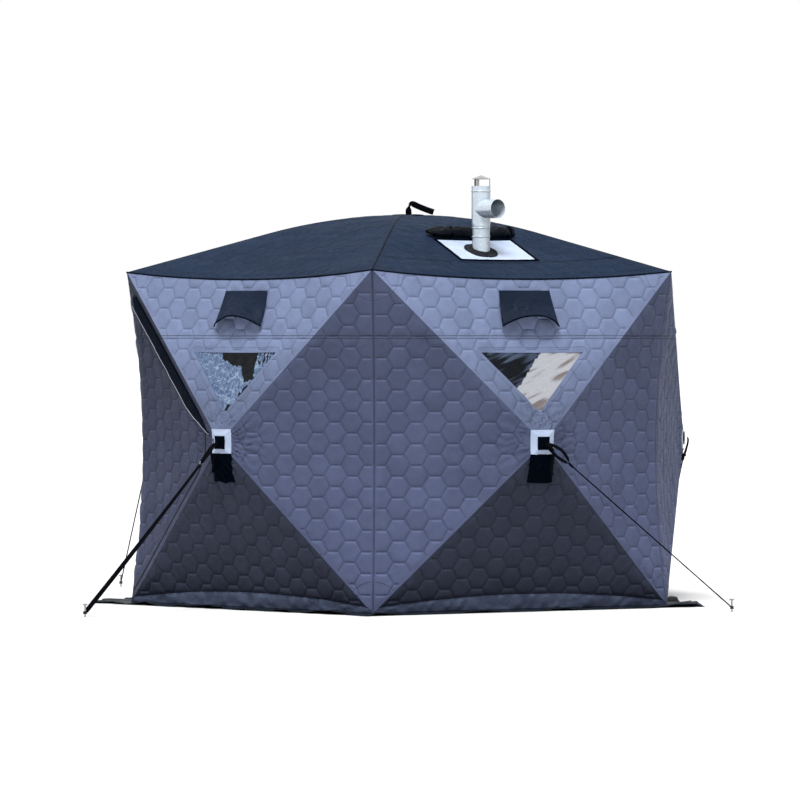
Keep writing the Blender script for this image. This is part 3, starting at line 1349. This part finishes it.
def make_apex():
    """Round patch over the roof hub and the pull strap on it."""
    rings, turns = np.linspace(0.0004, TOP_PATCH_R, 14), np.linspace(0, 2 * np.pi, 73)
    r, a = np.meshgrid(rings, turns)
    flat = np.stack([r * np.cos(a), r * np.sin(a)], axis=-1)
    waves = ripples(flat.reshape(-1, 2), TOP_PATCH_RIPPLE).reshape(r.shape) * fade(r, 0.02, 0.07)
    stitch = -0.0008 * bell(r - TOP_PATCH_R + 0.009, 0.003)
    low = np.dstack([flat, rib_z(r) + TOP_PATCH_LOW])
    high = np.dstack([flat, rib_z(r) + TOP_PATCH_HIGH + waves + stitch])
    patch = shell_piece("apex_patch", [slab(high[:-1], low[:-1])], "black_fabric", ["roof_patch"])
    base = APEX_H + STRAP_FOOT_H
    profile = [(0.004, 0.0), (0.003, 0.018), (0.005, 0.038), (0.013, STRAP_RISE - 0.008),
               (0.028, STRAP_RISE - 0.005), (0.048, 0.048), (0.078, 0.035), (0.112, 0.022),
               (STRAP_RUN - 0.004, 0.012)]
    path = smooth_path([(x, 0, z) for x, z in profile], 60)
    c, s = math.cos(STRAP_TURN), math.sin(STRAP_TURN)
    turn = np.array([[c, s, 0], [-s, c, 0], [0, 0, 1]])
    face = np.array([0.0, 1, 0])
    upright = np.cross(unit(np.gradient(path, axis=0)), face)
    fold = np.radians(20 + 55 * bell(np.linspace(0, 1, 60) - 0.3, 0.1))[:, None]
    across = unit(np.cos(fold) * upright + np.sin(fold) * face) @ turn
    path = path @ turn + np.array([0, 0, base])
    layers = [ribbon(path + step * face, across, STRAP_W * STRAP_SPREAD, STRAP_T)
              for step in (-STRAP_GAP, STRAP_GAP)]
    shell_piece("apex_pull_strap", layers, "webbing", ["apex_strap"])


# Stove jack
def roof_cut(name, region, lift, slot, nodes=(), material=None):
    """A cut of cloth that lies on the roof round the flue."""
    front = on_roof(JACK_WALL, region.points, lift)
    back = on_roof(JACK_WALL, region.back_points, JACK_SEAT)
    return piece(name, region.cloth(name, front, back), slot, nodes, material)


def make_jack():
    """Fireproof sheet with a dark border, and the collar round the flue."""
    a = full_turn(40)
    hole_r = PIPE_R + 0.0006
    hole = np.column_stack([FLUE_OUT + hole_r * np.cos(a), FLUE_ALONG + hole_r * np.sin(a)])
    sheet_edge = jack_corners(JACK_BORDER * 0.8)
    sheet = Region([subdivide(closed(sheet_edge), JACK_LATTICE), hole], keep_in(sheet_edge, [hole]),
                   JACK_LATTICE, 0.04)
    calm = fade(distance(sheet.points, closed(sheet_edge)), 0, 0.03)
    lift = ripples(sheet.points, JACK_WRINKLE) * calm + JACK_SHEET_T
    roof_cut("jack_sheet", sheet, lift, "fireproof_sheet", ["stove_jack"])
    outer, inner = jack_corners(0.0), jack_corners(JACK_BORDER)
    border = Region([subdivide(closed(corners), JACK_LATTICE) for corners in (outer, inner)],
                    keep_in(outer, [inner]), 0.006, 0.03)
    edge = np.minimum(distance(border.points, closed(outer)), distance(border.points, closed(inner)))
    lift = 0.0016 * fade(edge, 0, 0.006) + ripples(border.points, JACK_BORDER_RIPPLE)
    obj = roof_cut("jack_border", border, lift + JACK_BORDER_T, "black_fabric", material="pocket_cloth")
    r, a = np.meshgrid(np.linspace(PIPE_R + 0.0004, COLLAR_R, 14), np.linspace(0, 2 * np.pi, 97))
    plan = np.column_stack([(FLUE_OUT + r * np.cos(a)).ravel(), (FLUE_ALONG + r * np.sin(a)).ravel()])
    flute = COLLAR_FLUTE_H * np.sin(a * COLLAR_FLUTES) * fade(r, 0.05, 0.09) * bell(r - 0.075, 0.02)
    stand = COLLAR_RISE * bell(r - PIPE_R, 0.010) + flute
    lifts = (COLLAR_HIGH + stand.ravel(), COLLAR_LOW)
    high, low = (on_roof(JACK_WALL, plan, lift).reshape(*r.shape, 3) for lift in lifts)
    collar = shell_piece("flue_collar", [slab(high[:-1], low[:-1])], "black_felt", ["stove_collar"])


def make_roll():
    """Cover of the stove jack, rolled up above it and tied with two straps."""
    steps, columns = 110, 60
    a = np.linspace(0, ROLL_TURNS * 2 * np.pi, steps)
    radius = ROLL_D / 2 + 0.003 - ROLL_LAYER * (ROLL_TURNS - a / (2 * np.pi))
    along = np.linspace(-ROLL_L / 2, ROLL_L / 2, columns)
    top = roof_surface(np.column_stack([np.full(columns, ROLL_OUT), along]))[:, 2]
    rest, dip = top.max() - ROLL_SINK + ROLL_D / 2, top.max() - top
    tie = ROLL_TIE_DENT * sum(bell(along - share * ROLL_L, 0.02) for share in ROLL_TIES)
    taper = mix(ROLL_TIP_SHARE, 1.0, np.sqrt(np.clip((along + ROLL_L / 2) / ROLL_TIP_L, 0, 1)))
    grids = []
    for depth in (0.0, -ROLL_CLOTH_T):
        x, z = np.cos(a) * (radius + depth) * ROLL_OVAL[0], np.sin(a) * (radius + depth) * ROLL_OVAL[1]
        place = np.stack(np.broadcast_arrays(x[:, None], along, z[:, None]), axis=-1)
        where = place.reshape(-1, 3)
        dent = ripples(where * np.array([1, 0.35, 1]), ROLL_FOLD) + ripples(where, ROLL_CREASE)
        scale = (1 + (dent.reshape(steps, columns) - tie) / (ROLL_D / 2)) * taper
        place[..., 0] = place[..., 0] * scale + ROLL_OUT
        place[..., 2] = place[..., 2] * scale + (rest - ROLL_SAG * dip)
        grids.append(roof_to_world(JACK_WALL, place.reshape(-1, 3)).reshape(place.shape))
    roll = shell_piece("rolled_jack_cover", [slab(*grids)], "black_fabric", ["jack_cover_roll"])
    shells = []
    ring, r = full_turn(64), ROLL_D / 2 + 0.0012
    for share in ROLL_TIES:
        height = rest - ROLL_SAG * float(np.interp(share * ROLL_L, along, dip))
        path = np.column_stack([ROLL_OUT + ROLL_TIE_OVAL[0] * r * np.cos(ring),
                                np.full(len(ring), share * ROLL_L),
                                height + ROLL_TIE_OVAL[1] * r * np.sin(ring)])
        across = np.broadcast_to(np.array([0.0, 1, 0]), path.shape)
        points, faces = ribbon(path, across, ROLL_TIE_W, ROLL_TIE_T, loop=True)
        shells.append((roof_to_world(JACK_WALL, points), faces))
    shell_piece("roll_straps", shells, "webbing")


# Hub trims
def hub_slab(k, half, lift, thickness, seed, count, crown=0.0, flatten=0.0):
    """Square trim over a hub that follows the wall's ridges."""
    x, y = np.meshgrid(np.linspace(-1, 1, count), np.linspace(-1, 1, count))
    pull = 1 - 0.02 * bow((y + 1) / 2) * np.abs(x) ** 3 - 0.012 * bow((x + 1) / 2) * np.abs(y) ** 3
    px, py = x * half * pull, y * half * pull
    flat = np.column_stack([px.ravel(), py.ravel()])
    fall = shape(k).fall(px, py)
    soft = np.minimum(fall, shape(k).fall(half * 0.16, 0.0)) * (1 - flatten) + flatten * fall.min() * 0.4
    edge = np.minimum(1 - np.abs(x), 1 - np.abs(y))
    waves = ripples(flat, HUB_TRIM_RIPPLE, seed).reshape(x.shape)
    top = lift + thickness + crown * fade(edge, 0, 0.5) + waves
    top = top - 0.0007 * bell(edge - 0.16, 0.05)
    front = np.stack([px, py, soft + top], axis=-1)
    back = np.stack([px, py, fall * (1 - flatten) + flatten * soft + lift * 0.3], axis=-1)
    return slab(*(wall_to_world(k, grid.reshape(-1, 3)).reshape(*grid.shape) for grid in (front, back)))


def make_hub_trims():
    patches, pads = [], []
    for k in range(SIDES):
        patches.append(hub_slab(k, PATCH_W / 2, TRIM_SEAT, PATCH_T, PATCH_SEED + k, 41))
        pads.append(hub_slab(k, PAD_W / 2, PATCH_T + TRIM_SEAT, PAD_T - 2 * TRIM_SEAT, PAD_SEED + k, 25,
                             PAD_CROWN, PAD_FLATTEN_SHARE))
    obj = shell_piece("hub_patch_squares", patches, "pale_patch", ["hub_patches"])
    obj = shell_piece("hub_pad_squares", pads, "black_fabric", ["hub_pads"], "pocket_cloth")


def make_pockets():
    """Soft flap pocket under each patch, lying on the lower panel."""
    x, v = np.meshgrid(np.linspace(-1, 1, 33), np.linspace(0, 1, 33))
    shares, middle = np.column_stack([x.ravel(), v.ravel()]), bow((x + 1) / 2)
    puff = POCKET_T * middle ** 0.45 * fade(v, -0.15, 0.4) * (0.72 + 0.28 * fade(1 - v, 0, 0.25))
    hem = 0.0016 * bell(v - 0.93, 0.03)
    across = x * POCKET_W / 2 * (1 - 0.06 * bow(v) - 0.03 * (1 - v))
    shells = []
    for k in range(SIDES):
        panel = shape(k).panels["lower"]
        low = PATCH_W / SIDE_L * shape(k).low_l
        sway = ripples(x.reshape(-1, 1), POCKET_SWAY, k).reshape(x.shape)
        down = -low + POCKET_TUCK - v * (POCKET_H + POCKET_MORE_H) + sway * v
        plane = np.column_stack([across.ravel(), down.ravel()])
        fold = ripples(shares, POCKET_FOLD, k).reshape(x.shape)
        base = np.maximum(wall_cloth(k, panel, plane)[0], 0).reshape(x.shape)
        top = base + POCKET_FRONT + puff + fold * middle + hem
        shells.append(wall_slab(k, panel, plane, (top.ravel(), POCKET_BACK), x.shape))
    obj = shell_piece("hub_flap_pockets", shells, "black_fabric", ["hub_pockets"], "pocket_cloth")


# Guys
def guy_plan(k):
    """Plan distance and turn of a guy from straight out of its hub."""
    if k == JACK_WALL:
        return GUY_RIGHT_R, GUY_RIGHT_TURN
    if k == DOOR_WALL:
        return GUY_LEFT_R, 0.0
    if WALLS[k] == "rear":
        return (hub_radius(DOOR_WALL) + GUY_LEFT_R) * math.cos(HALF) - hub_radius(k), 0.0
    if WALLS[k] == "right_side":
        return GUY_SIDE_R, GUY_SIDE_TURN
    right = hub_radius(JACK_WALL) * math.cos(wall_turn(JACK_WALL))
    right += GUY_RIGHT_R * math.cos(wall_turn(JACK_WALL) + GUY_RIGHT_TURN)
    run = right + hub_radius(k) * math.cos(wall_turn(k))
    return GUY_SIDE_R, math.pi - math.acos(run / GUY_SIDE_R) - wall_turn(k)


def guy_points(k):
    """Where a guy leaves its hub, where it ends at its peg, and its direction."""
    a = wall_turn(k)
    length, turn = guy_plan(k)
    outward = heading(a)
    stand = TAB_R * math.cos(turn) + WEBBING_W / 2 * abs(math.sin(turn))
    start = (hub_radius(k) + PATCH_T + PAD_T + TRIM_SEAT + stand) * outward + HUB_H * UP
    end = hub_radius(k) * outward + length * heading(a + turn) + TIE_H * UP
    return start, end, unit(end - start)


# Places along the guy, over it and to its side, or down for the tail
LOOP_PLACES = ((0.0, 0.004, 0.002), (0.03, 0.011, -0.012), (0.08, 0.016, -0.022), (0.13, 0.010, -0.016),
               (LOOP_L, 0.004, 0.0), (0.13, 0.001, 0.010), (0.08, 0.002, 0.016), (0.03, 0.003, 0.012),
               (0.0, 0.001, 0.002))
TAIL_PLACES = ((0.012, 0.006, 0.0), (0.03, 0.02, 0.004), (0.042, 0.022, 0.03), (0.04, 0.016, 0.075),
               (0.03, 0.014, 0.115), (0.036, 0.018, 0.15))


def make_pull_straps():
    """Webbing loop on each pad that the guy pulls on; the front ones have a loose tail, one a steel ring."""
    straps, rings = [], []
    count = 72
    edgewise = 0.15 + 0.85 * bell(np.linspace(-1, 1, count), 0.12)[:, None]
    for k in range(SIDES):
        start, _, line = guy_points(k)
        outward = heading(wall_turn(k))
        side = unit(np.cross(line, outward))
        over = np.cross(side, line)
        path = smooth_path([start + x * line + y * over + z * side for x, y, z in LOOP_PLACES], count)
        across = unit((1 - edgewise) * side + edgewise * over)
        straps.append(ribbon(path, across, WEBBING_W * LOOP_W_SHARE, WEBBING_T * THIN_SHARE))
        if k in (JACK_WALL, DOOR_WALL):
            path = smooth_path([start + x * line + y * over - z * UP for x, y, z in TAIL_PLACES], 48)
            flat = unit(np.cross(outward, np.gradient(path, axis=0)))
            straps.append(ribbon(path, flat, WEBBING_W * TAIL_SHARE, WEBBING_T * TAIL_SHARE))
        if k == DOOR_WALL:
            ring = around(start + (LOOP_L + 0.002) * line, RING_R, full_turn(40)[:, None], line, over)
            rings.append(tube(ring, RING_WIRE_R, 10, loop=True))
    shell_piece("pull_strap_loops", straps, "webbing", ["pull_straps"])
    shell_piece("pull_rings", rings, "peg_steel")


def peg_loops(end, radius):
    """Two turns of a guy round its peg."""
    ring = around(end, PEG_R + radius, full_turn(32)[:, None], np.array([1, 0, 0]), np.array([0, 1, 0]))
    return [tube(ring + height * UP, radius, TUBE_SIDES, loop=True) for height in PEG_TURNS]


def make_guys():
    """Three-strand ropes and one webbing guy, stretched from the pull straps to the pegs."""
    ropes = []
    for k in range(SIDES):
        start, end, line = guy_points(k)
        side = unit(np.cross(line, UP))
        over = np.cross(side, line)
        if k == DOOR_WALL:
            shares = np.linspace(0, 1, 90)[:, None]
            path = start + (LOOP_L + 0.01) * line + shares * (end - start - (LOOP_L + 0.018) * line)
            path = path - np.array([0, 0, 0.006]) * bow(shares)
            twist = 0.9 * np.sin(shares * np.pi * 0.5) ** 2
            across = unit(np.cos(twist) * side + np.sin(twist) * over)
            width = WEBBING_W * mix(0.55, 1.0, fade(shares, 0.05, 0.2)).mean()
            webbing = [ribbon(path, across, width, WEBBING_T * THIN_SHARE)] + peg_loops(end, WEBBING_LOOP_R)
            continue
        top = start + (LOOP_L - 0.004) * line
        length = float(np.linalg.norm(end - top))
        steps = np.linspace(0, 1, int(length / STRAND_STEP))
        axis = top + steps[:, None] * (end - top - line * PEG_R)
        for strand in range(STRANDS):
            turn = (steps * length / STRAND_LAY * 2 * np.pi + strand * 2 * np.pi / STRANDS)[:, None]
            ropes.append(tube(around(axis, STRAND_OUT, turn, side, over), STRAND_R, 6))
        knot = np.linspace(0, WRAP_TURNS * 2 * np.pi, 90)[:, None]
        wrap = top + (0.006 + 0.03 * np.linspace(0, 1, 90)[:, None]) * line
        ropes.append(tube(around(wrap, WRAP_OUT, knot, side, over), WRAP_R, 6))
        ropes += peg_loops(end, ROPE_LOOP_R)
    shell_piece("guy_rope_lines", ropes, "rope", ["guy_ropes"])
    shell_piece("guy_webbing_strap", webbing, "webbing", ["guy_webbing"])


# Ground skirt
def make_skirt():
    """Skirt on the ground round the walls, wavy along its free edge."""
    inner_r = CORNER_R - BASE_INSET - SKIRT_LAP / math.cos(HALF)
    outer_r = CORNER_R - BASE_INSET + SKIRT_W / math.cos(HALF)
    v, u = np.meshgrid(np.linspace(0, 1, 25), np.linspace(-1, 1, 161), indexing="ij")
    free, calm = fade(v, 0.2, 1.0), fade(1 - np.abs(u), 0.0, 0.06)
    plan = np.column_stack([u.ravel() * SIDE_L / 2, v.ravel() * (SKIRT_W + SKIRT_LAP)])
    shells = []
    for k in range(SIDES):
        wave = ripples(plan * np.array([1, 0.45]), SKIRT_WAVE, k).reshape(u.shape)
        crease = ripples(plan, SKIRT_CREASE, k).reshape(u.shape)
        ragged = ripples(plan[:, :1], SKIRT_RAGGED, k).reshape(u.shape) - SKIRT_TRIM
        r = mix(inner_r, outer_r, v) + ragged * free * calm
        out, along = r * math.cos(HALF), u * (r * math.sin(HALF) - SKIRT_GAP)
        rise = (SKIRT_RISE + wave) * free * calm + crease * free
        low = np.maximum(rise, 0.0)
        high = low + mix(SKIRT_T, SKIRT_EDGE_T, free)
        grids = [roof_to_world(k, np.stack([out, along, z], axis=-1).reshape(-1, 3)).reshape(*u.shape, 3)
                 for z in (high, low)]
        shells.append(slab(*grids))
    skirt = shell_piece("ground_skirt_cloth", shells, "skirt_fabric", ["ground_skirt"])


# Studio
def make_stage():
    """Plain pale floor, a sky that is brighter behind the hut and a soft sun."""
    mesh = bpy.data.meshes.new("floor")
    corners = [(-1, -1), (1, -1), (1, 1), (-1, 1)]
    mesh.from_pydata([(FLOOR_REACH * x, FLOOR_REACH * y, 0) for x, y in corners], [], [(0, 1, 2, 3)])
    floor = bpy.data.objects.new("floor", mesh)
    bpy.context.collection.objects.link(floor)
    t = Tree("floor")
    t.set(Base_Color=t.blend(t.noise(0.6, 2.0), rgb(0.79, 0.79, 0.79), rgb(0.81, 0.81, 0.81)), Roughness=0.9)
    mesh.materials.append(t.material)
    world = bpy.data.worlds.new("studio")
    bpy.context.scene.world = world
    world.use_nodes = True
    nodes, links = world.node_tree.nodes, world.node_tree.links
    place = nodes.new("ShaderNodeTexCoord").outputs["Generated"]
    split = nodes.new("ShaderNodeSeparateXYZ")
    links.new(place, split.inputs[0])
    wash = nodes.new("ShaderNodeMapRange")
    links.new(split.outputs["Y"], wash.inputs["Value"])
    for key, value in SKY_WASH.items():
        wash.inputs[key].default_value = value
    links.new(wash.outputs[0], nodes["Background"].inputs["Strength"])
    nodes["Background"].inputs["Color"].default_value = rgb(1.0, 1.0, 1.0)
    light = bpy.data.lights.new("key", "SUN")
    light.energy = SUN_STRENGTH
    light.angle = SUN_SPREAD
    lamp = bpy.data.objects.new("key", light)
    bpy.context.collection.objects.link(lamp)
    lamp.rotation_euler = Vector(SUN_AIM).to_track_quat("-Z", "Y").to_euler()
    bpy.context.scene.view_settings.view_transform = "Standard"


def make_camera():
    data = bpy.data.cameras.new("camera")
    data.sensor_width = CAMERA_SENSOR
    data.lens = CAMERA_LENS
    data.clip_end = CAMERA_REACH
    camera = bpy.data.objects.new("camera", data)
    bpy.context.collection.objects.link(camera)
    camera.location = (CAMERA_AWAY * math.sin(CAMERA_TURN), -CAMERA_AWAY * math.cos(CAMERA_TURN), CAMERA_H)
    camera.rotation_euler = (math.radians(90) + CAMERA_PITCH, 0, CAMERA_TURN + CAMERA_YAW)
    bpy.context.scene.camera = camera


def finish_frame():
    """Better materials on the CAD pieces that stay in view."""
    slots = {"wall_poles": "fibreglass", "roof_poles": "fibreglass", "wall_hubs": "black_plastic",
             "roof_hub": "black_plastic", "pegs": "peg_steel", "flue_pipe": "galvanised",
             "flue_tee": "galvanised", "flue_cap": "dull_zinc"}
    for node, slot in slots.items():
        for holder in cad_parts[node].material_slots:
            holder.material = MATERIALS[slot]


make_stage()
make_camera()
finish_frame()
make_walls()
make_door()
make_windows()
make_screens()
make_hoods()
make_zip()
make_flap()
make_roof()
make_apex()
make_jack()
make_roll()
make_hub_trims()
make_pockets()
make_pull_straps()
make_guys()
make_skirt()
